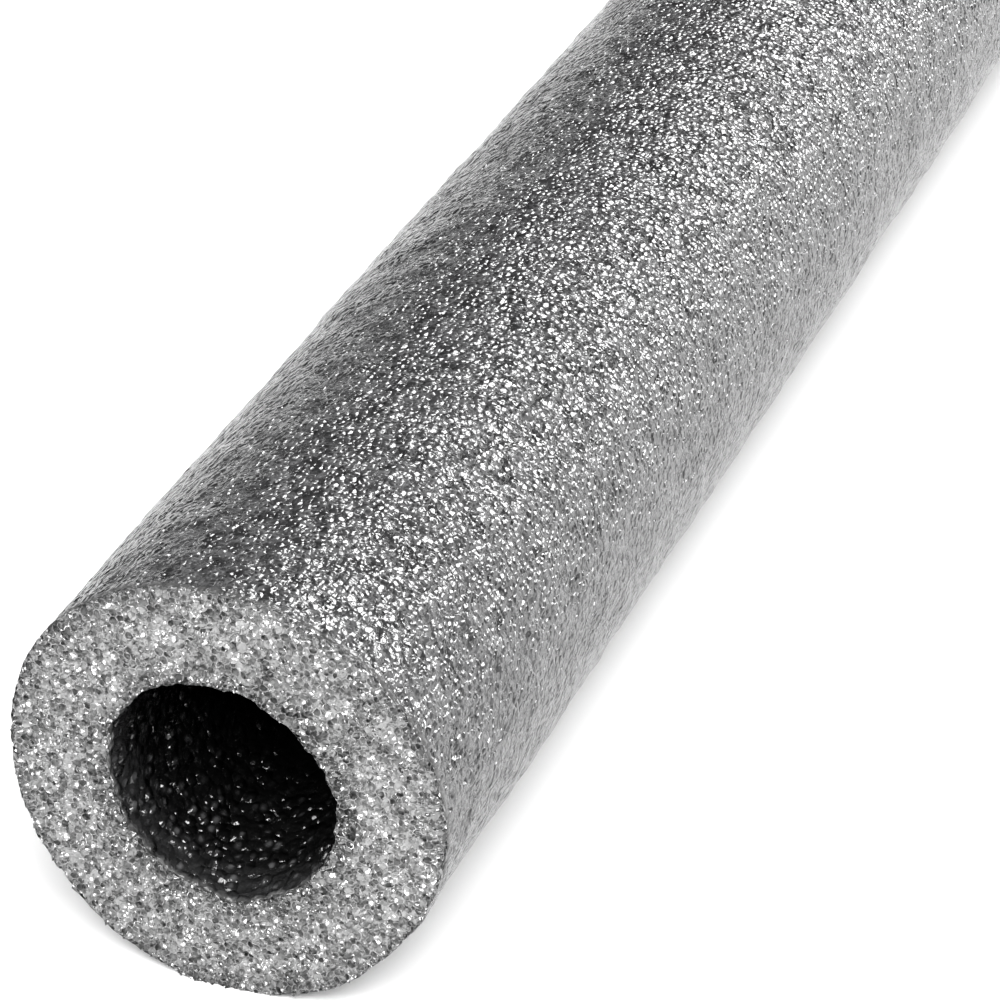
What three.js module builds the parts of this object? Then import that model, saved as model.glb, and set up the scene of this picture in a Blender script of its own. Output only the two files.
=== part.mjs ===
// Pipe lagging: one extruded tube of grey polyethylene foam that slides over a heating or water pipe.
//
// Frame: millimetres, +Z up. The tube lies on a level floor along X, its middle over the origin and its
// lowest line at Z = 0. The end at -X is the one that is seen cut open.
//
// The tube is one piece: the die forms the skin and the bore in one pass, and a knife cuts it to length.

import * as THREE from "three";

// Driving dimensions, in millimetres and degrees
const tubeLength = 1000; // sold in lengths of one metre
const outerDiameter = 54;
const boreDiameter = 28; // for a pipe of 28 mm outside diameter
const boreOval = 0.25; // how far the radius grows and shrinks twice in a turn
const boreOvalAngle = 53; // where it is widest, from +Y towards +Z
const boreLobes = 0.2; // how far the radius grows and shrinks three times in a turn
const boreLobesAngle = 45;

// Straight sides that stand for the two round walls
const outerSides = 48;
const boreSides = 72;

// The section is drawn looking from the -X end along the tube: u points to -Y and v to +Z.

function skinOutline() {
  // Half a side's turn puts a side at the bottom, where the tube lies.
  const points = [];
  for (let i = 0; i < outerSides; i += 1) {
    const angle = ((i + 0.5) / outerSides) * 2 * Math.PI;
    points.push(
      new THREE.Vector2(
        (outerDiameter / 2) * Math.cos(angle),
        (outerDiameter / 2) * Math.sin(angle),
      ),
    );
  }
  return points;
}

function boreRadius(angle) {
  const oval = boreOval * Math.cos(2 * (angle - THREE.MathUtils.degToRad(boreOvalAngle)));
  const lobes = boreLobes * Math.cos(3 * (angle - THREE.MathUtils.degToRad(boreLobesAngle)));
  return boreDiameter / 2 + oval + lobes;
}

function boreOutline() {
  const points = [];
  for (let i = 0; i < boreSides; i += 1) {
    const angle = (i / boreSides) * 2 * Math.PI;
    const radius = boreRadius(angle);
    points.push(
      new THREE.Vector2(
        -radius * Math.cos(angle),
        radius * Math.sin(angle),
      ),
    );
  }
  return points;
}

function tubeGeometry() {
  const section = new THREE.Shape(skinOutline());
  section.holes.push(new THREE.Path(boreOutline()));
  const geometry = new THREE.ExtrudeGeometry(section, {
    depth: tubeLength,
    bevelEnabled: false,
  });
  // This turn takes u to -Y, v to +Z, and the extrusion, which runs square to both, to -X.
  const turn = new THREE.Matrix4().makeBasis(
    new THREE.Vector3(0, -1, 0),
    new THREE.Vector3(0, 0, 1),
    new THREE.Vector3(-1, 0, 0),
  );
  geometry.applyMatrix4(turn);
  geometry.computeBoundingBox();
  return geometry;
}

const foam = new THREE.MeshStandardMaterial({
  name: "polyethylene_foam",
  color: new THREE.Color(0.16, 0.16, 0.163),
  roughness: 0.45,
  metalness: 0,
});

function laggingTube() {
  const mesh = new THREE.Mesh(tubeGeometry(), foam);
  mesh.name = "lagging_tube";
  // It lies on the floor, with its middle over the origin.
  const box = mesh.geometry.boundingBox;
  mesh.position.set(
    -(box.min.x + box.max.x) / 2,
    -(box.min.y + box.max.y) / 2,
    -box.min.z,
  );
  return mesh;
}

const lagging = new THREE.Group();
lagging.name = "pipe_lagging";
lagging.add(laggingTube());

export default lagging;
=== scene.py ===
import math
import random

import bmesh
import bpy
from mathutils import Matrix, Vector, noise
from mathutils.geometry import delaunay_2d_cdt


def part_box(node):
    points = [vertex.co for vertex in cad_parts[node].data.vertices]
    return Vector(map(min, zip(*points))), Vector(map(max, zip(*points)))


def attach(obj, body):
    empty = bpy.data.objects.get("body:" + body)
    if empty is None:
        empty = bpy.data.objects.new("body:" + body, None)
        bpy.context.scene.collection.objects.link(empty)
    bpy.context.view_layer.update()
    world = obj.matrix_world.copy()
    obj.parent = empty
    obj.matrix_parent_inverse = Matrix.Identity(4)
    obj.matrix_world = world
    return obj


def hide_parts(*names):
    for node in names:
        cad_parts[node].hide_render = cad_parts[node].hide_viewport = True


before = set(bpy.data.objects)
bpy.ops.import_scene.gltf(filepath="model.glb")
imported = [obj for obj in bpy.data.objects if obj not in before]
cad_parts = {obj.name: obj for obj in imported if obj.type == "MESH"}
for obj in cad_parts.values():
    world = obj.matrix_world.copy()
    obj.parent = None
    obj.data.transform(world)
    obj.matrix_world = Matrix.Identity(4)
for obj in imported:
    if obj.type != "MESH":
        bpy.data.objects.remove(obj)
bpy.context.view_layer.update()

# The foam tube
# A round die extrudes molten polyethylene, which foams as it cools, so skin and bore form in one pass.
# The skin is sealed, glossy and pebbled by the cells that press against it from inside.

tube_low, tube_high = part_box("lagging_tube")
tube_length = tube_high.x - tube_low.x
near_cut = tube_low.x
far_cut = tube_high.x
axis_height = (tube_low.z + tube_high.z) / 2
skin_radius = (tube_high.z - tube_low.z) / 2
bore_radius = 0.014  # for a pipe of 28 mm
wall_middle = (skin_radius + bore_radius) / 2

skin_lobes = 0.00036  # how far the outside grows and shrinks three times in a turn
skin_lobes_angle = math.radians(34)  # angles run from +Y towards +Z
skin_lumps = (  # size across the tube, how many times longer along it, and height
    (0.03, 1.0, 0.0003),
    (0.008, 4.0, 0.0003),
    (0.0042, 1.3, 0.00022),
    (0.0021, 1.4, 0.00022),
)
bore_offset = 0.00055  # towards +Y, because one wall comes out of the die a little thicker
bore_oval = 0.00025  # how far the bore grows and shrinks twice in a turn
bore_oval_angle = math.radians(53)
bore_lobes = 0.0002  # and three times in a turn
bore_lobes_angle = math.radians(45)
bore_lumps = ((0.004, 1.0, 0.0005), (0.0012, 1.0, 0.0004))


def lumped(radius, x, angle, lumps):
    """The radius with lumps on it, which are the same each time they are asked for."""
    for size, stretch, height in lumps:
        place = Vector((x / stretch, radius * math.cos(angle), radius * math.sin(angle))) / size
        radius += height * noise.noise(place)
    return radius


def skin_outline(x, angle):
    radius = skin_radius + skin_lobes * math.cos(3 * (angle - skin_lobes_angle))
    return lumped(radius, x, angle, skin_lumps)


def bore_outline(x, angle):
    oval = bore_oval * math.cos(2 * (angle - bore_oval_angle))
    lobes = bore_lobes * math.cos(3 * (angle - bore_lobes_angle))
    radius = bore_radius + bore_offset * math.cos(angle) + oval + lobes
    return lumped(radius, x, angle, bore_lumps)


# The wall's section is one closed path: along the skin, over the far rim, back through the bore and over
# the near rim. Rings of points stand along it, finest at the cut ends, and triangles weave them together.
rim_profile = (  # distance behind the cut, and depth below the skin or the bore
    (0.0013, 0.0006),
    (0.0005, 0.0004),
    (0.0002, 0.00022),
    (0.00027, 0.00008),
    (0.00045, 0.0),
)
# The points' spacing at each cut, how much it grows with the distance from there, and the widest it gets in
# the stretch that the photograph shows and in the rest.
skin_spacing = {
    "near": 0.00029,
    "near_growth": 0.018,
    "far": 0.0006,
    "far_growth": 0.036,
    "seen": 0.0015,
    "unseen": 0.003,
}
bore_spacing = {
    "near": 0.00036,
    "near_growth": 0.03,
    "far": 0.0008,
    "far_growth": 0.06,
    "seen": 0.002,
    "unseen": 0.004,
}
seen_length = 0.28  # from the near cut
row_to_spacing = 0.866  # rows of even triangles lie this much of their side apart


def spacing_at(place, spacing):
    from_near = spacing["near"] + spacing["near_growth"] * place
    from_far = spacing["far"] + spacing["far_growth"] * (tube_length - place)
    middle = spacing["seen"] if place < seen_length else spacing["unseen"]
    return min(from_near, from_far, middle)


def side_rings(outline, inwards, spacing):
    """Rings as (x, outline, inset, spacing), from the near cut to the far cut."""
    rings = [(near_cut + back, outline, inwards * depth, spacing["near"]) for back, depth in rim_profile]
    far_rim = [(far_cut - back, outline, inwards * depth, spacing["far"]) for back, depth in rim_profile]
    place = rim_profile[-1][0]
    last_place = tube_length - place
    while True:
        place += row_to_spacing * spacing_at(place, spacing)
        if place > last_place - spacing["far"] / 2:
            break
        rings.append((near_cut + place, outline, 0.0, spacing_at(place, spacing)))
    return rings + far_rim[::-1]


skin_rings = side_rings(skin_outline, -1, skin_spacing)
bore_rings = side_rings(bore_outline, 1, bore_spacing)
rings = skin_rings + bore_rings[::-1]

full_turn = 2 * math.pi
tube_seed = 11
shake = 0.22  # how far a point strays from its even place, as a share of the spacing
finest_relief = 0.00036  # where the points lie closer than this, the mesh has the cells' whole relief
coarsest_relief = 0.00055  # and where they lie further apart than this, the material has it

rng = random.Random(tube_seed)
points = []
reliefs = []
woven = []
for x, outline, inset, spacing in rings:
    count = round(full_turn * outline(x, 0) / spacing)
    step = full_turn / count
    start = rng.uniform(0, step)
    relief = (coarsest_relief - spacing) / (coarsest_relief - finest_relief)
    on_rim = inset != 0
    ring = []
    for i in range(count):
        angle = start + step * (i + rng.uniform(-shake, shake))
        strayed = x if on_rim else x + spacing * rng.uniform(-shake, shake)
        radius = outline(strayed, angle) + inset
        ring.append((angle, len(points)))
        points.append((strayed, radius * math.cos(angle), axis_height + radius * math.sin(angle)))
        reliefs.append(min(max(relief, 0), 1))
    woven.append(ring)

# Between two rings, each triangle takes its third point from the ring whose next point comes first.
triangles = []
for ring, following in zip(woven, woven[1:] + woven[:1]):
    ring = ring + [(ring[0][0] + full_turn, ring[0][1])]
    following = following + [(following[0][0] + full_turn, following[0][1])]
    i = 0
    j = 0
    while i < len(ring) - 1 or j < len(following) - 1:
        ring_turns = j == len(following) - 1
        if not ring_turns and i < len(ring) - 1:
            ring_turns = ring[i + 1][0] < following[j + 1][0]
        if ring_turns:
            triangles.append((ring[i][1], ring[i + 1][1], following[j][1]))
            i += 1
        else:
            triangles.append((ring[i][1], following[j + 1][1], following[j][1]))
            j += 1

tube_mesh = bpy.data.meshes.new("foam_tube")
tube_mesh.from_pydata(points, [], triangles)
tube_mesh.attributes.new("relief", "FLOAT", "POINT").data.foreach_set("value", reliefs)


def add(tree, kind, inputs, **settings):
    """A node with its settings, and its inputs set to values or linked to sockets."""
    made = tree.nodes.new(kind)
    for name, value in settings.items():
        setattr(made, name, value)
    for name, value in inputs.items():
        if isinstance(value, bpy.types.NodeSocket):
            tree.links.new(value, made.inputs[name])
        else:
            made.inputs[name].default_value = value
    return made


def calc(tree, operation, *values):
    """The result of a Math node."""
    return add(tree, "ShaderNodeMath", dict(enumerate(values)), operation=operation).outputs[0]


def vector_calc(tree, operation, *values):
    return add(tree, "ShaderNodeVectorMath", dict(enumerate(values)), operation=operation).outputs[0]


def scaled(tree, vector, factor):
    return add(tree, "ShaderNodeVectorMath", {0: vector, "Scale": factor}, operation="SCALE").outputs[0]


def either_way(tree, colour, reach):
    """A random or noisy colour as a vector that reaches half of reach each way."""
    return scaled(tree, vector_calc(tree, "SUBTRACT", colour, (0.5, 0.5, 0.5)), reach)


def noise_node(tree, vector, size, detail):
    return add(tree, "ShaderNodeTexNoise", {"Vector": vector, "Scale": 1 / size, "Detail": detail})


def noise_of(tree, vector, size, detail=2.0):
    """Noise from about 0 to 1 whose features are about as large as size, in metres."""
    return noise_node(tree, vector, size, detail).outputs[0]


def wandering(tree, vector, size, reach):
    """An offset that wanders about from place to place."""
    return either_way(tree, noise_node(tree, vector, size, 2.0).outputs["Color"], reach)


def dome(tree, distance, flatness):
    """From 1 at the middle of a cell to about 0 at its edge, rounded like a blister."""
    distance_to_edge = 1.35  # turns the pattern's own distance into 1 at about the edge
    reach = calc(tree, "MULTIPLY", distance, distance_to_edge)
    return calc(tree, "SUBTRACT", 1.0, calc(tree, "POWER", reach, flatness))


cell_stretch = 1.45  # the cells are drawn out along the tube


def drawn_out(tree, vector):
    """The place in a pattern that is stretched along the tube."""
    return vector_calc(tree, "MULTIPLY", vector, (1 / cell_stretch, 1.0, 1.0))


def distance_from_axis(tree, vector):
    parts = add(tree, "ShaderNodeSeparateXYZ", {"Vector": vector})
    up = calc(tree, "SUBTRACT", parts.outputs["Z"], axis_height)
    squares = calc(tree, "ADD", calc(tree, "POWER", parts.outputs["Y"], 2.0), calc(tree, "POWER", up, 2.0))
    return calc(tree, "SQRT", squares)


def in_bore(tree, vector):
    """1 on the bore's wall and 0 on the skin."""
    return calc(tree, "LESS_THAN", distance_from_axis(tree, vector), wall_middle)


def tree_with_inputs(name, inputs):
    """A Geometry Nodes tree with these named inputs, and its input node."""
    tree = bpy.data.node_groups.new(name, "GeometryNodeTree")
    tree.interface.new_socket("Geometry", in_out="INPUT", socket_type="NodeSocketGeometry")
    for label, (socket_type, value) in inputs.items():
        socket = tree.interface.new_socket(label, in_out="INPUT", socket_type=socket_type)
        if socket_type != "NodeSocketMaterial":
            socket.default_value = value
    tree.interface.new_socket("Geometry", in_out="OUTPUT", socket_type="NodeSocketGeometry")
    return tree, tree.nodes.new("NodeGroupInput")


sharp_bend = math.radians(40)  # an edge that bends more than this is a crease


def finish_tree(tree, geometry, material):
    """Ends a tree: smooth faces with creases, real geometry and the material."""
    smooth = add(tree, "GeometryNodeSetShadeSmooth", {"Geometry": geometry})
    bend = add(tree, "GeometryNodeInputMeshEdgeAngle", {}).outputs["Unsigned Angle"]
    inputs = {"Geometry": smooth.outputs[0], "Shade Smooth": calc(tree, "LESS_THAN", bend, sharp_bend)}
    creased = add(tree, "GeometryNodeSetShadeSmooth", inputs, domain="EDGE")
    real = add(tree, "GeometryNodeRealizeInstances", {"Geometry": creased.outputs[0]})
    dressed = add(tree, "GeometryNodeSetMaterial", {"Geometry": real.outputs[0], "Material": material})
    tree.links.new(dressed.outputs[0], tree.nodes.new("NodeGroupOutput").inputs[0])


def grown(name, mesh, tree, values):
    """A plain mesh object: what the tree makes of the mesh with these values for its named inputs."""
    seed_object = bpy.data.objects.new(name + "_seed", mesh)
    bpy.context.scene.collection.objects.link(seed_object)
    modifier = seed_object.modifiers.new("Grow", "NODES")
    modifier.node_group = tree
    for item in tree.interface.items_tree:
        if item.in_out == "INPUT" and item.name in values:
            modifier[item.identifier] = values[item.name]
    evaluated = seed_object.evaluated_get(bpy.context.evaluated_depsgraph_get())
    plain = bpy.data.meshes.new_from_object(evaluated)
    plain.name = name
    bpy.data.objects.remove(seed_object)
    piece = bpy.data.objects.new(name, plain)
    bpy.context.scene.collection.objects.link(piece)
    return piece


# The cells' relief is grown on the woven mesh.
cell_size = 0.00078
bore_cell_size = 0.00115
mean_dome = 0.7  # taken off the domes, so that the skin keeps its radius
far_below = -10.0  # lower than anything here, so a limit that leaves an axis alone
skin_inputs = {
    "Cell Size": ("NodeSocketFloat", cell_size),
    "Cell Height": ("NodeSocketFloat", 0.0001),
    "Bore Cell Size": ("NodeSocketFloat", bore_cell_size),
    "Bore Extra": ("NodeSocketFloat", 1.2),
    "Floor": ("NodeSocketFloat", 0.0),
    "Material": ("NodeSocketMaterial", None),
}
skin_tree, given = tree_with_inputs("foam_skin_relief", skin_inputs)
place = skin_tree.nodes.new("GeometryNodeInputPosition").outputs[0]
outwards = skin_tree.nodes.new("GeometryNodeInputNormal").outputs[0]
in_mesh = add(skin_tree, "GeometryNodeInputNamedAttribute", {"Name": "relief"}).outputs["Attribute"]
is_bore = in_bore(skin_tree, place)
larger = calc(skin_tree, "SUBTRACT", given.outputs["Bore Cell Size"], given.outputs["Cell Size"])
size_here = calc(skin_tree, "MULTIPLY_ADD", is_bore, larger, given.outputs["Cell Size"])
inputs = {
    "Vector": drawn_out(skin_tree, place),
    "Scale": calc(skin_tree, "DIVIDE", 1.0, size_here),
    "Smoothness": 0.25,
}
mesh_cells = add(skin_tree, "ShaderNodeTexVoronoi", inputs, feature="SMOOTH_F1")
domes = calc(skin_tree, "SUBTRACT", dome(skin_tree, mesh_cells.outputs["Distance"], 2.0), mean_dome)
rougher = calc(skin_tree, "MULTIPLY_ADD", is_bore, given.outputs["Bore Extra"], 1.0)
height = calc(skin_tree, "MULTIPLY", given.outputs["Cell Height"], rougher)
rise = calc(skin_tree, "MULTIPLY", calc(skin_tree, "MULTIPLY", domes, in_mesh), height)
offset = scaled(skin_tree, outwards, rise)
raised = add(skin_tree, "GeometryNodeSetPosition", {"Geometry": given.outputs["Geometry"], "Offset": offset})
# The soft foam is flattened where it rests on the floor.
inputs = {"X": far_below, "Y": far_below, "Z": given.outputs["Floor"]}
no_lower = add(skin_tree, "ShaderNodeCombineXYZ", inputs).outputs[0]
resting = vector_calc(skin_tree, "MAXIMUM", place, no_lower)
rested = add(skin_tree, "GeometryNodeSetPosition", {"Geometry": raised.outputs[0], "Position": resting})
finish_tree(skin_tree, rested.outputs[0], given.outputs["Material"])


def new_material(name):
    """A material, its tree, its Principled shader and the Object coordinates."""
    material = bpy.data.materials.new(name)
    material.use_nodes = True
    tree = material.node_tree
    here = tree.nodes.new("ShaderNodeTexCoord").outputs["Object"]
    return material, tree, tree.nodes["Principled BSDF"], here


def mixed(tree, factor, first, second):
    """A colour between first and second."""
    made = add(tree, "ShaderNodeMix", {"Factor": factor}, data_type="RGBA")
    colour_inputs = [socket for socket in made.inputs if socket.type == "RGBA"]
    for socket, colour in zip(colour_inputs, (first, second)):
        if isinstance(colour, bpy.types.NodeSocket):
            tree.links.new(colour, socket)
        else:
            socket.default_value = colour
    return next(socket for socket in made.outputs if socket.type == "RGBA")


def smooth_step(tree, value, zero_at, one_at):
    """From 0 where the value is zero_at to 1 where it is one_at."""
    inputs = {"Value": value, "From Min": zero_at, "From Max": one_at}
    return add(tree, "ShaderNodeMapRange", inputs, interpolation_type="SMOOTHSTEP").outputs["Result"]


def depth_behind_cut(tree, vector):
    """The distance along the tube from the nearer of the two cuts."""
    x = add(tree, "ShaderNodeSeparateXYZ", {"Vector": vector}).outputs["X"]
    return calc(tree, "SUBTRACT", tube_length / 2, calc(tree, "ABSOLUTE", x))


skin_foam, nodes, shader, here = new_material("foam_skin")
along = drawn_out(nodes, here)
is_bore = in_bore(nodes, here)
behind_cut = depth_behind_cut(nodes, here)

# Each cell under the skin raises a blister. Where the mesh has it too, the bump adds only its share.
skin_flatness = 3.0
bore_flatness = 2.0
share_in_mesh = 0.5
per_metre = calc(nodes, "MULTIPLY_ADD", is_bore, 1 / bore_cell_size - 1 / cell_size, 1 / cell_size)
skin_cells = add(nodes, "ShaderNodeTexVoronoi", {"Vector": along, "Scale": per_metre}, feature="F1")
flatness = calc(nodes, "MULTIPLY_ADD", is_bore, bore_flatness - skin_flatness, skin_flatness)
in_mesh = add(nodes, "ShaderNodeAttribute", {}, attribute_name="relief").outputs["Fac"]
left_to_bump = calc(nodes, "MULTIPLY_ADD", in_mesh, -share_in_mesh, 1.0)
blisters = calc(nodes, "MULTIPLY", dome(nodes, skin_cells.outputs["Distance"], flatness), left_to_bump)

# In the bore, where nothing pressed on them, some cells have swollen, most of all by the cut.
swollen_extra = 4.5
chances = add(nodes, "ShaderNodeSeparateXYZ", {"Vector": skin_cells.outputs["Color"]})
some = smooth_step(nodes, chances.outputs["Z"], zero_at=0.3, one_at=0.9)
swelling = smooth_step(nodes, behind_cut, zero_at=0.04, one_at=0.01)
swollen = calc(nodes, "MULTIPLY", calc(nodes, "MULTIPLY", is_bore, some), swelling)
rougher = calc(nodes, "MULTIPLY_ADD", swollen, swollen_extra, 1.0)

# The cells' walls meet the skin in a net of fine ridges, painted paler than the films between them: partly
# the walls' own tone, partly a painted highlight where the ridges catch the light.
net_size = 0.00095
net_shortening = 1.3  # the walls lie closer together along the tube
net_patch_size = 0.0022
strayed = vector_calc(nodes, "ADD", here, wandering(nodes, here, size=0.0006, reach=0.0004))
net_place = vector_calc(nodes, "MULTIPLY", strayed, (net_shortening, 1.0, 1.0))
inputs = {"Vector": net_place, "Scale": 1 / net_size}
from_wall = add(nodes, "ShaderNodeTexVoronoi", inputs, feature="DISTANCE_TO_EDGE").outputs["Distance"]
net_patches = noise_of(nodes, here, net_patch_size, detail=1.0)
net_shows = smooth_step(nodes, net_patches, zero_at=0.35, one_at=0.6)
net = calc(nodes, "MULTIPLY", smooth_step(nodes, from_wall, zero_at=0.28, one_at=0.02), net_shows)

# The film wrinkles, and it sags between ridges that groups of cells hold up.
wrinkle_size = 0.00045
sag_size = 0.0026
wrinkle_share = 0.9
net_share = 0.15
sag_share = -3.8
blister_height = 0.00022
wrinkles = calc(nodes, "MULTIPLY", noise_of(nodes, along, wrinkle_size, detail=0.0), wrinkle_share)
from_ridge = calc(nodes, "SUBTRACT", noise_of(nodes, here, sag_size, detail=1.0), 0.5)
sag = calc(nodes, "MULTIPLY", calc(nodes, "ABSOLUTE", from_ridge), sag_share)
fine = calc(nodes, "MULTIPLY_ADD", net, net_share, wrinkles)
height = calc(nodes, "ADD", calc(nodes, "MULTIPLY_ADD", blisters, rougher, fine), sag)
bump = add(nodes, "ShaderNodeBump", {"Height": height, "Distance": blister_height, "Strength": 1.0})

# Each cell's blister stands at its own slant, so that some shine as a whole and others stay dark.
cell_lean = 0.33
slant = either_way(nodes, skin_cells.outputs["Color"], cell_lean)
leaning = vector_calc(nodes, "NORMALIZE", vector_calc(nodes, "ADD", bump.outputs[0], slant))

skin_dark = (0.02, 0.02, 0.0205, 1)
skin_pale = (0.045, 0.045, 0.046, 1)
ridge_grey_and_highlight = (0.1, 0.1, 0.102, 1)
blotch_size = 0.003
blotches = smooth_step(nodes, noise_of(nodes, here, blotch_size, detail=3.0), zero_at=0.35, one_at=0.65)
skin_tone = mixed(nodes, blotches, skin_dark, skin_pale)
# The net's paler grey is partly a painted highlight on the ridges.
skin_tone = mixed(nodes, net, skin_tone, ridge_grey_and_highlight)

# Painted light and shade: the bore's wall is painted near black deep inside, as shade, and paler by the cut
# and in the middle of some of its blisters, as light that comes through the wall there.
bore_painted_shade = (0.004, 0.004, 0.004, 1)
bore_painted_light = (0.025, 0.025, 0.0255, 1)
bubble_painted_light = (0.1, 0.1, 0.102, 1)
some = smooth_step(nodes, chances.outputs["Y"], zero_at=0.3, one_at=1.0)
bubble_middle = smooth_step(nodes, skin_cells.outputs["Distance"], zero_at=0.5, one_at=0.05)
bubble_light = smooth_step(nodes, behind_cut, zero_at=0.032, one_at=0.0)
bubble = calc(nodes, "MULTIPLY", calc(nodes, "MULTIPLY", some, bubble_middle), bubble_light)
unlit = smooth_step(nodes, behind_cut, zero_at=0.0, one_at=0.01)
bore_tone = mixed(nodes, unlit, bore_painted_light, bore_painted_shade)
bore_tone = mixed(nodes, bubble, bore_tone, bubble_painted_light)
wall_tone = mixed(nodes, is_bore, skin_tone, bore_tone)

# The knife leaves a ragged edge, paler and duller than the skin.
cut_grey = (0.08, 0.08, 0.08, 1)
ragged_size = 0.0013
ragged_depth = 0.0022
ragged = calc(nodes, "MULTIPLY", noise_of(nodes, here, ragged_size), ragged_depth)
into_cut = calc(nodes, "SUBTRACT", ragged, behind_cut)
at_cut = smooth_step(nodes, into_cut, zero_at=-0.0001, one_at=0.0006)
tone = mixed(nodes, at_cut, wall_tone, cut_grey)

skin_roughness = 0.14
blotch_roughness = 0.06
edge_roughness = 0.15
roughness = calc(nodes, "MULTIPLY_ADD", blotches, blotch_roughness, skin_roughness)
roughness = calc(nodes, "MULTIPLY_ADD", at_cut, edge_roughness, roughness)
nodes.links.new(tone, shader.inputs["Base Color"])
nodes.links.new(leaning, shader.inputs["Normal"])
nodes.links.new(roughness, shader.inputs["Roughness"])
shader.inputs["IOR"].default_value = 1.7

foam_tube = grown("foam_tube", tube_mesh, skin_tree, {"Material": skin_foam})
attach(foam_tube, "root")
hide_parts("lagging_tube")

# The cut faces
# A knife opens the cells all over both ends. What is left of each is a tiny cup with a thin, shiny wall,
# some cut deep and some hardly at all, so the face looks paler than the skin and glints.

cut_inset = 0.0001  # the rim of skin that stands around the cut cells
edge_room = 3 * cut_inset  # kept free between the cells along the edges and the others
edge_shake = 0.2  # how far a cell at the edge strays along it, as a share of the spacing there
edge_wander = 0.00006  # and across it
least_cell = 0.00052
most_cell = 0.00105
cell_trials = 90000
sought_beyond = 0.001  # cells are sought this far past the plain radii of the skin and the bore
same_point = 1e-7  # points this close are one
cut_back = 0.001  # how far the layer of cut cells reaches into the tube
back_taper = 0.0006  # how much smaller it is there


def cell_places(x, seed):
    """Points across the wall's section at x as (y, z), each with room for its own cell."""
    rng = random.Random(seed)
    taken = {}
    places = []
    edges = []
    for outline, inset in ((skin_outline, -cut_inset), (bore_outline, cut_inset)):
        count = round(full_turn * outline(x, 0) / least_cell)
        for i in range(count):
            angle = full_turn * (i + rng.uniform(-edge_shake, edge_shake)) / count
            radius = outline(x, angle) + inset + rng.uniform(-edge_wander, edge_wander)
            edges.append((radius * math.cos(angle), radius * math.sin(angle), least_cell))
    least_square = (bore_radius - sought_beyond) ** 2
    most_square = (skin_radius + sought_beyond) ** 2
    for trial in range(-len(edges), cell_trials):
        if trial < 0:
            y, z, size = edges[trial]
        else:
            angle = rng.uniform(-math.pi, math.pi)
            radius = math.sqrt(rng.uniform(least_square, most_square))
            size = max(least_cell, rng.uniform(least_cell, most_cell) * (1 - trial / cell_trials))
            if not bore_outline(x, angle) + edge_room < radius < skin_outline(x, angle) - edge_room:
                continue
            y, z = radius * math.cos(angle), radius * math.sin(angle)
        column, row = int(y // most_cell), int(z // most_cell)
        near = [p for i in (-1, 0, 1) for j in (-1, 0, 1) for p in taken.get((column + i, row + j), ())]
        if trial >= 0 and any(math.hypot(y - p[0], z - p[1]) < (size + p[2]) / 2 for p in near):
            continue
        taken.setdefault((column, row), []).append((y, z, size))
        places.append((y, z))
    return places


def cut_mesh(name, x, faces_x, seed):
    """A flat ring of triangles at x that faces towards +X or -X, with a point for each cell."""
    triangles_to_hull = 0  # the kind of result: triangles out to the outermost points
    tolerance = 1e-9
    cells = cell_places(x, seed)
    places, _, triangles, *_ = delaunay_2d_cdt(cells, [], [], triangles_to_hull, tolerance)
    kept = []
    for triangle in triangles:
        corners = [places[i] for i in triangle]
        y = sum(corner[0] for corner in corners) / 3
        z = sum(corner[1] for corner in corners) / 3
        angle = math.atan2(z, y)
        if bore_outline(x, angle) + cut_inset / 2 < math.hypot(y, z) < skin_outline(x, angle) - cut_inset / 2:
            kept.append(triangle if faces_x > 0 else triangle[::-1])
    mesh = bpy.data.meshes.new(name)
    mesh.from_pydata([(x, y, axis_height + z) for y, z in places], [], kept)
    return mesh


# Each point of the flat ring becomes a cell, and each cell is sunk in steps to a cup.
cut_inputs = {
    "Wall": ("NodeSocketFloat", 0.88),
    "Least Depth": ("NodeSocketFloat", -0.00015),
    "Most Depth": ("NodeSocketFloat", 0.00042),
    "Slant": ("NodeSocketFloat", 0.7),
    "Uneven": ("NodeSocketFloat", 0.0004),
    "Seed": ("NodeSocketInt", 1),
    "Material": ("NodeSocketMaterial", None),
}
cut_tree, given = tree_with_inputs("foam_cut_cells", cut_inputs)
polygons = add(cut_tree, "GeometryNodeDualMesh", {"Mesh": given.outputs["Geometry"], "Keep Boundaries": True})


def keep_for_each_cell(geometry, name, value, data_type):
    inputs = {"Geometry": geometry, "Name": name, "Value": value}
    kept = add(cut_tree, "GeometryNodeStoreNamedAttribute", inputs, data_type=data_type, domain="FACE")
    return kept.outputs[0]


def random_for_each_cell(seed, least, most, data_type):
    """A random value between least and most, which are both a number, a vector or a socket."""
    made = add(cut_tree, "FunctionNodeRandomValue", {"Seed": seed}, data_type=data_type)
    kind = "VALUE" if data_type == "FLOAT" else "VECTOR"
    for socket, limit in zip([socket for socket in made.inputs if socket.type == kind], (least, most)):
        if isinstance(limit, bpy.types.NodeSocket):
            cut_tree.links.new(limit, socket)
        else:
            socket.default_value = limit
    return next(socket for socket in made.outputs if socket.type == kind)


def kept_value(name, data_type):
    made = add(cut_tree, "GeometryNodeInputNamedAttribute", {"Name": name}, data_type=data_type)
    return made.outputs["Attribute"]


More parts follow.
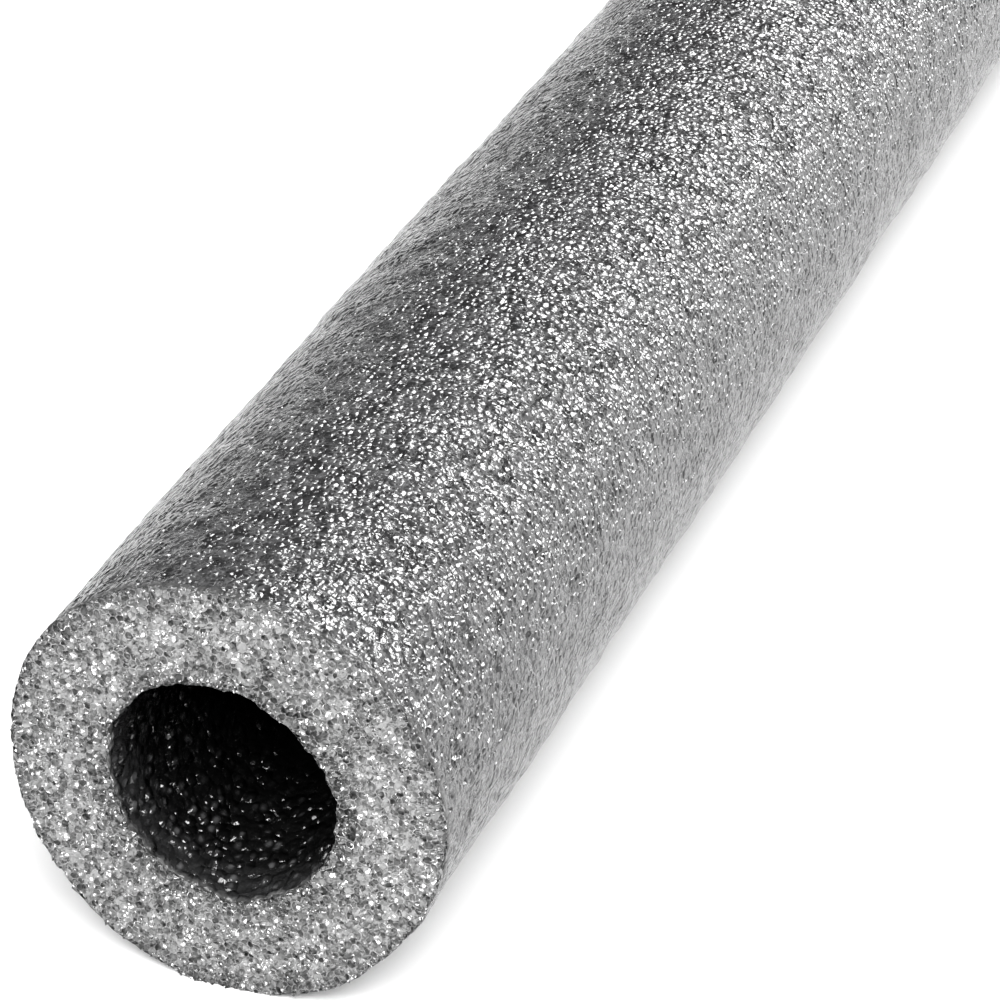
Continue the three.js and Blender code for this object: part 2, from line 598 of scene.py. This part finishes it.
slant_seed_step = 50.0  # so that a cell's slant has nothing to do with its depth
wave_size = 0.0012
place = cut_tree.nodes.new("GeometryNodeInputPosition").outputs[0]
facing = cut_tree.nodes.new("GeometryNodeInputNormal").outputs[0]
seed = given.outputs["Seed"]
slant_seed = calc(cut_tree, "ADD", seed, slant_seed_step)
depth = random_for_each_cell(seed, given.outputs["Least Depth"], given.outputs["Most Depth"], "FLOAT")
slant = random_for_each_cell(slant_seed, (-1, -1, -1), (1, 1, 1), "FLOAT_VECTOR")
kept = keep_for_each_cell(polygons.outputs[0], "cell_depth", depth, "FLOAT")
kept = keep_for_each_cell(kept, "cell_slant", slant, "FLOAT_VECTOR")
kept = keep_for_each_cell(kept, "cell_centre", place, "FLOAT_VECTOR")
cell_depth = kept_value("cell_depth", "FLOAT")
waves = calc(cut_tree, "SUBTRACT", noise_of(cut_tree, place, wave_size), 0.5)
ragged = scaled(cut_tree, facing, calc(cut_tree, "MULTIPLY", waves, given.outputs["Uneven"]))
torn = add(cut_tree, "GeometryNodeSetPosition", {"Geometry": kept, "Offset": ragged})


def sunk(geometry, selection, depth_share, size):
    """Each selected face pushed in by its share of the cell's depth, and scaled by size."""
    push = calc(cut_tree, "MULTIPLY", cell_depth, -depth_share)
    offset = scaled(cut_tree, facing, push)
    inputs = {"Mesh": geometry, "Offset": offset, "Offset Scale": 1.0, "Individual": True}
    if selection:
        inputs["Selection"] = selection
    pushed = add(cut_tree, "GeometryNodeExtrudeMesh", inputs, mode="FACES")
    inputs = {"Geometry": pushed.outputs["Mesh"], "Selection": pushed.outputs["Top"], "Scale": size}
    shrunk = add(cut_tree, "GeometryNodeScaleElements", inputs, domain="FACE").outputs[0]
    return shrunk, pushed.outputs["Top"], pushed.outputs["Side"]


cups, inside, rims = sunk(torn.outputs[0], None, depth_share=0.0, size=given.outputs["Wall"])
cups = keep_for_each_cell(cups, "rim", rims, "FLOAT")
cups, inside, _ = sunk(cups, inside, depth_share=0.45, size=0.95)
# What is left of a cell's film lies at a slant, so one side of the cell is open and dark.
from_centre = vector_calc(cut_tree, "SUBTRACT", place, kept_value("cell_centre", "FLOAT_VECTOR"))
inputs = {0: from_centre, 1: kept_value("cell_slant", "FLOAT_VECTOR")}
leans = add(cut_tree, "ShaderNodeVectorMath", inputs, operation="DOT_PRODUCT").outputs["Value"]
leans = calc(cut_tree, "MULTIPLY", leans, given.outputs["Slant"])
across_cut = add(cut_tree, "ShaderNodeCombineXYZ", {"X": leans, "Y": 0.0, "Z": 0.0}).outputs[0]
inputs = {"Geometry": cups, "Selection": inside, "Offset": across_cut}
cups = add(cut_tree, "GeometryNodeSetPosition", inputs).outputs[0]
cups, inside, _ = sunk(cups, inside, depth_share=0.35, size=0.72)
cups, inside, _ = sunk(cups, inside, depth_share=0.2, size=0.5)
bent = wandering(cut_tree, place, size=0.0004, reach=0.00035)
crooked = add(cut_tree, "GeometryNodeSetPosition", {"Geometry": cups, "Offset": bent})
above_floor = vector_calc(cut_tree, "MAXIMUM", place, (far_below, far_below, 0.0))
inputs = {"Geometry": crooked.outputs[0], "Position": above_floor}
rested = add(cut_tree, "GeometryNodeSetPosition", inputs)
finish_tree(cut_tree, rested.outputs[0], given.outputs["Material"])


def close_behind(mesh, inwards):
    """Gives the layer of cells its thickness: edges carried back and joined by a plain ring."""
    shell = bmesh.new()
    shell.from_mesh(mesh)
    bmesh.ops.remove_doubles(shell, verts=shell.verts, dist=same_point)
    rims = [edge for edge in shell.edges if edge.is_boundary]
    carried = bmesh.ops.extrude_edge_only(shell, edges=rims)["geom"]
    back_edges = [item for item in carried if isinstance(item, bmesh.types.BMEdge) and item.is_boundary]
    back_x = (near_cut + cut_back) if inwards > 0 else (far_cut - cut_back)
    for vert in {vert for edge in back_edges for vert in edge.verts}:
        radius = math.hypot(vert.co.y, vert.co.z - axis_height)
        moved = back_taper if radius < wall_middle else -back_taper
        vert.co.y += moved * vert.co.y / radius
        vert.co.z += moved * (vert.co.z - axis_height) / radius
        vert.co.x = back_x
    bmesh.ops.bridge_loops(shell, edges=back_edges)
    bmesh.ops.recalc_face_normals(shell, faces=shell.faces)
    if shell.calc_volume(signed=True) < 0:
        bmesh.ops.reverse_faces(shell, faces=shell.faces)
    shell.to_mesh(mesh)
    shell.free()


cut_foam, nodes, shader, here = new_material("foam_cut")

# Each cell's film lies at its own slant, with creases in it.
film_size = 0.00036
film_lean = 1.1
cell_lean = 0.22
grain = noise_of(nodes, here, 0.0003, detail=1.0)
bump = add(nodes, "ShaderNodeBump", {"Height": grain, "Distance": 0.00005, "Strength": 1.0})
crumpled = vector_calc(nodes, "ADD", here, wandering(nodes, here, size=0.0006, reach=0.0005))
inputs = {"Vector": crumpled, "Scale": 1 / film_size}
creases = add(nodes, "ShaderNodeTexVoronoi", inputs, feature="F1").outputs["Color"]
cell_slant = add(nodes, "ShaderNodeAttribute", {}, attribute_name="cell_slant").outputs["Vector"]
leaning = vector_calc(nodes, "ADD", bump.outputs[0], scaled(nodes, cell_slant, cell_lean))
leaning = vector_calc(nodes, "ADD", leaning, either_way(nodes, creases, film_lean))
leaning = vector_calc(nodes, "NORMALIZE", leaning)

# The films' tone differs from cell to cell and from patch to patch. Deeper behind the cut, at the bottoms of
# the cups, the colour is painted darker as shade; the cut walls have a paler tone of their own.
film_dull = (0.11, 0.11, 0.11, 1)
film_pale = (0.26, 0.26, 0.26, 1)
cup_painted_shade = (0.14, 0.14, 0.14, 1)
cut_wall_pale = (0.4, 0.4, 0.4, 1)
cut_wall_share = 0.2
film_share = 0.35  # how much of the paleness is each cell's own, beside that of the patches
patch_size = 0.004
patches = noise_of(nodes, here, patch_size, detail=3.0)
cell_chance = add(nodes, "ShaderNodeSeparateXYZ", {"Vector": cell_slant}).outputs["Z"]
film_tone = calc(nodes, "MULTIPLY_ADD", cell_chance, 0.5, 0.5)
paleness = calc(nodes, "MULTIPLY_ADD", film_tone, film_share, patches)
tone = mixed(nodes, smooth_step(nodes, paleness, zero_at=0.3, one_at=1.1), film_dull, film_pale)
# Painted shade: the deeper the face lies behind the cut, the darker its colour.
deep = smooth_step(nodes, depth_behind_cut(nodes, here), zero_at=0.0001, one_at=0.0009)
tone = mixed(nodes, deep, tone, cup_painted_shade)
rim = add(nodes, "ShaderNodeAttribute", {}, attribute_name="rim").outputs["Fac"]
tone = mixed(nodes, calc(nodes, "MULTIPLY", rim, cut_wall_share), tone, cut_wall_pale)

# The outermost cells were squeezed flat under the skin, and are dark like it. So are those that the bore
# breaks into.
by_bore_dark = (0.02, 0.02, 0.02, 1)
dark_share = 0.8
border_wander = 0.004
from_axis = calc(nodes, "MULTIPLY_ADD", patches, border_wander, distance_from_axis(nodes, here))
near_skin = smooth_step(nodes, from_axis, zero_at=skin_radius - 0.0012, one_at=skin_radius + 0.0026)
near_bore = smooth_step(nodes, from_axis, zero_at=bore_radius + 0.007, one_at=bore_radius + 0.002)
tone = mixed(nodes, calc(nodes, "MULTIPLY", near_skin, dark_share), tone, skin_pale)
tone = mixed(nodes, calc(nodes, "MULTIPLY", near_bore, dark_share), tone, by_bore_dark)
nodes.links.new(tone, shader.inputs["Base Color"])
nodes.links.new(leaning, shader.inputs["Normal"])
shader.inputs["Roughness"].default_value = 0.28
shader.inputs["IOR"].default_value = 2.0  # films lie over films, so the cut shines more than solid plastic
shader.inputs["Specular IOR Level"].default_value = 1.0

for name, x, faces_x, seed in (("near_cut_face", near_cut, -1, 5), ("far_cut_face", far_cut, 1, 6)):
    flat = cut_mesh(name, x, faces_x, seed)
    cut_face = grown(name, flat, cut_tree, {"Seed": seed, "Material": cut_foam})
    close_behind(cut_face.data, -faces_x)
    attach(cut_face, "root")
    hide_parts("lagging_tube")

# The studio
# A plain pale floor, with soft light from a large panel behind the tube and from smaller ones beside it
# and in front.

floor_half = 4.0
floor_corners = [
    (-floor_half, -floor_half, 0),
    (floor_half, -floor_half, 0),
    (floor_half, floor_half, 0),
    (-floor_half, floor_half, 0),
]
floor_mesh = bpy.data.meshes.new("studio_floor")
floor_mesh.from_pydata(floor_corners, [], [(0, 1, 2, 3)])
studio_floor = bpy.data.objects.new("studio_floor", floor_mesh)
bpy.context.scene.collection.objects.link(studio_floor)

# The table is lit from below as well, more so far away, where the panels' light ends.
near_glow = 0.08
far_extra_glow = 0.9
floor_paint, nodes, shader, here = new_material("floor_paint")
shader.inputs["Base Color"].default_value = (0.9, 0.9, 0.9, 1)
shader.inputs["Roughness"].default_value = 0.9
shader.inputs["Emission Color"].default_value = (1, 1, 1, 1)
from_middle = add(nodes, "ShaderNodeVectorMath", {0: here}, operation="LENGTH").outputs["Value"]
far_away = smooth_step(nodes, from_middle, zero_at=1.0, one_at=2.2)
glow = calc(nodes, "MULTIPLY_ADD", far_away, far_extra_glow, near_glow)
nodes.links.new(glow, shader.inputs["Emission Strength"])
floor_paint.cycles.emission_sampling = "NONE"  # it is so large that rays find it by themselves
floor_mesh.materials.append(floor_paint)

room = bpy.data.worlds.new("room")
room.use_nodes = True
room.node_tree.nodes["Background"].inputs["Color"].default_value = (1, 1, 1, 1)
room.node_tree.nodes["Background"].inputs["Strength"].default_value = 0.03
bpy.context.scene.world = room
bpy.context.scene.view_settings.view_transform = "Standard"


def soft_panel(name, aim, direction, distance, size, power):
    """A square light panel that looks at aim from that direction."""
    light = bpy.data.lights.new(name, "AREA")
    light.shape = "SQUARE"
    light.size = size
    light.energy = power
    panel = bpy.data.objects.new(name, light)
    panel.location = aim + Vector(direction).normalized() * distance
    panel.rotation_euler = (aim - panel.location).to_track_quat("-Z", "Y").to_euler()
    bpy.context.scene.collection.objects.link(panel)


near_centre = Vector((near_cut, 0, axis_height))
seen_middle = near_centre + Vector((0.15, 0, 0))
soft_panel("back_panel", seen_middle, (0.81, -0.3, 0.48), distance=2.4, size=1.4, power=84)
soft_panel("back_left_panel", seen_middle, (0.81, 0.05, 0.6), distance=2.4, size=0.8, power=6)
soft_panel("side_panel", seen_middle, (0.1, -0.85, 0.6), distance=2.0, size=1.2, power=6)
soft_panel("front_left_panel", near_centre, (-0.8, 0.35, 0.93), distance=2.0, size=1.0, power=23)
soft_panel("front_right_panel", near_centre, (-0.8, -0.35, 0.93), distance=2.0, size=1.0, power=50)

# The camera, fitted to the tube's two edges and to the outlines of its cut end and bore
pitch = math.radians(30.04)  # down from level
heading = math.radians(20.707)  # the tube points this far to the right of the camera's heading
sensor = 36.0
lens = 150.23  # millimetres on that sensor
fit_radius = 0.027  # the fit's distances are in radii of the tube
right_of_end = 1.14993
above_end = 1.22631
before_end = 17.38953

forward = Vector((math.cos(heading) * math.cos(pitch), math.sin(heading) * math.cos(pitch), -math.sin(pitch)))
rightwards = forward.cross(Vector((0, 0, 1))).normalized()
upwards = rightwards.cross(forward)
camera_data = bpy.data.cameras.new("camera")
camera_data.sensor_width = sensor
camera_data.lens = lens
camera_data.clip_start = 0.01
camera = bpy.data.objects.new("camera", camera_data)
camera.location = near_centre + fit_radius * (
    right_of_end * rightwards + above_end * upwards - before_end * forward
)
camera.rotation_euler = Matrix((rightwards, upwards, -forward)).transposed().to_euler()
bpy.context.scene.collection.objects.link(camera)
bpy.context.scene.camera = camera
